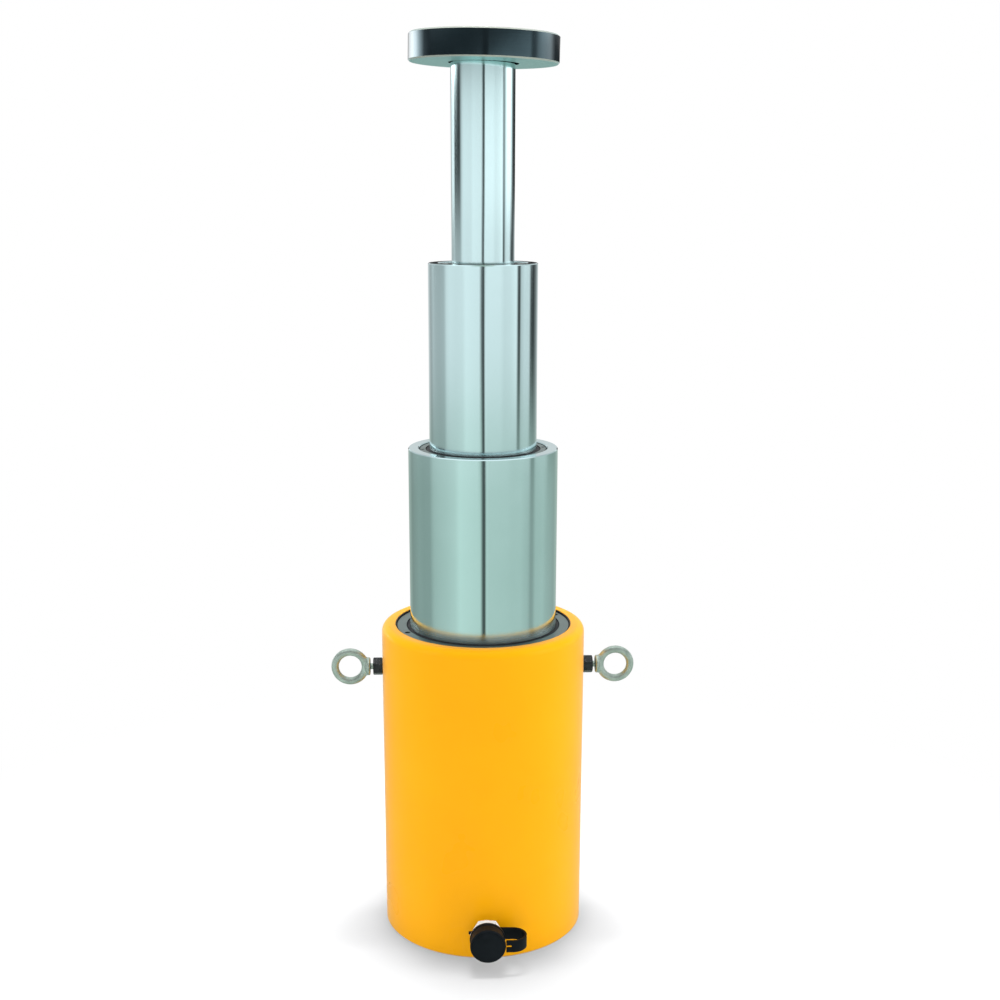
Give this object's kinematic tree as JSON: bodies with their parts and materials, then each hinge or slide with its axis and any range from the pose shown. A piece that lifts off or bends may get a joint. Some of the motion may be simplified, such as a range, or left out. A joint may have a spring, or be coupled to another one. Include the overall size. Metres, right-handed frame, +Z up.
{
  "type": "telescopic hydraulic cylinder",
  "caption": "Upright telescopic hydraulic cylinder: a painted round body with nested chromed stages, a tilting round saddle, side lifting eyes and a capped quick coupler.",
  "frame": {"origin": "centre of the base's underside, on the ram's axis", "axes": "+Z up along the ram's stroke, -Y out of the oil inlet, X through the two lifting eyes"},
  "size_m": [0.347, 0.27, 0.9937],
  "materials": {
    "yellow_paint": "smooth gloss enamel with a fine orange-peel",
    "chrome_plating": "hard chrome, ground and polished",
    "wiper_rubber": "satin polyurethane",
    "seal_rubber": "satin nitrile",
    "guide_band_resin": "filled phenolic, matt",
    "stop_ring_steel": "turned face, fine rings",
    "machined_steel": "turned and oiled",
    "zinc_plated_steel": "forged and zinc plated, semi-gloss",
    "black_oxide_steel": "black oxide, semi-gloss",
    "plated_coupler_steel": "bright zinc plate",
    "brass": "turned",
    "spring_steel": "oiled spring wire",
    "cap_rubber": "moulded, satin",
    "blued_saddle_steel": "blued and polished on the edge",
    "hardened_steel": "ground"
  },
  "bodies": {
    "cylinder": {"cylinder_body": "yellow_paint", "base_plug": "machined_steel", "base_seal": "seal_rubber", "body_stop_ring": "stop_ring_steel", "body_wiper": "wiper_rubber", "body_ring_band": "guide_band_resin", "lifting_eye_left": "zinc_plated_steel", "lifting_eye_right": "zinc_plated_steel", "eye_lock_nut_left": "black_oxide_steel", "eye_lock_nut_right": "black_oxide_steel", "inlet_adapter": "plated_coupler_steel", "coupler_body": "plated_coupler_steel", "coupler_spring": "spring_steel", "dust_cap_strap": "cap_rubber"},
    "first_stage": {"first_stage_tube": "chrome_plating", "first_stage_piston": "machined_steel", "first_stage_piston_seal": "seal_rubber", "first_stage_piston_band": "guide_band_resin", "first_stage_stop_ring": "stop_ring_steel", "first_stage_wiper": "wiper_rubber", "first_stage_ring_band": "guide_band_resin"},
    "second_stage": {"second_stage_tube": "chrome_plating", "second_stage_piston": "machined_steel", "second_stage_piston_seal": "seal_rubber", "second_stage_piston_band": "guide_band_resin", "second_stage_stop_ring": "stop_ring_steel", "second_stage_wiper": "wiper_rubber", "second_stage_ring_band": "guide_band_resin"},
    "plunger": {"plunger_rod": "chrome_plating", "plunger_piston": "machined_steel", "plunger_piston_seal": "seal_rubber", "plunger_piston_band": "guide_band_resin"},
    "saddle_seat": {"saddle_seat": "hardened_steel", "saddle_seat_ring": "spring_steel"},
    "saddle": {"saddle": "blued_saddle_steel", "saddle_snap_ring": "spring_steel"},
    "dust_cap": {"dust_cap": "cap_rubber"},
    "coupler_poppet": {"coupler_poppet": "brass"}
  },
  "joints": [
    {"name": "first_stage_slide", "type": "slide", "parent": "cylinder", "child": "first_stage", "axis": [0, 0, 1], "range_m": [-0.195, 0]},
    {"name": "second_stage_slide", "type": "slide", "parent": "first_stage", "child": "second_stage", "axis": [0, 0, 1], "range_m": [-0.195, 0]},
    {"name": "plunger_slide", "type": "slide", "parent": "second_stage", "child": "plunger", "axis": [0, 0, 1], "range_m": [-0.195, 0]},
    {"name": "saddle_swivel", "type": "hinge", "parent": "plunger", "child": "saddle_seat", "pos_m": [0, 0, 0.935], "axis": [0, 0, 1], "continuous": true},
    {"name": "saddle_tilt", "type": "hinge", "parent": "saddle_seat", "child": "saddle", "pos_m": [0, 0, 0.935], "axis": [0, 1, 0], "range_deg": [-6.3, 3.7]},
    {"name": "dust_cap_pull", "type": "slide", "parent": "cylinder", "child": "dust_cap", "axis": [0, -1, 0], "range_m": [0, 0.03], "deforming": ["dust_cap_strap"]},
    {"name": "coupler_valve", "type": "slide", "parent": "cylinder", "child": "coupler_poppet", "axis": [0, 1, 0], "range_m": [0, 0.004], "stiffness_N_per_m": 1500, "springref_m": -0.004, "deforming": ["coupler_spring"]}
  ]
}
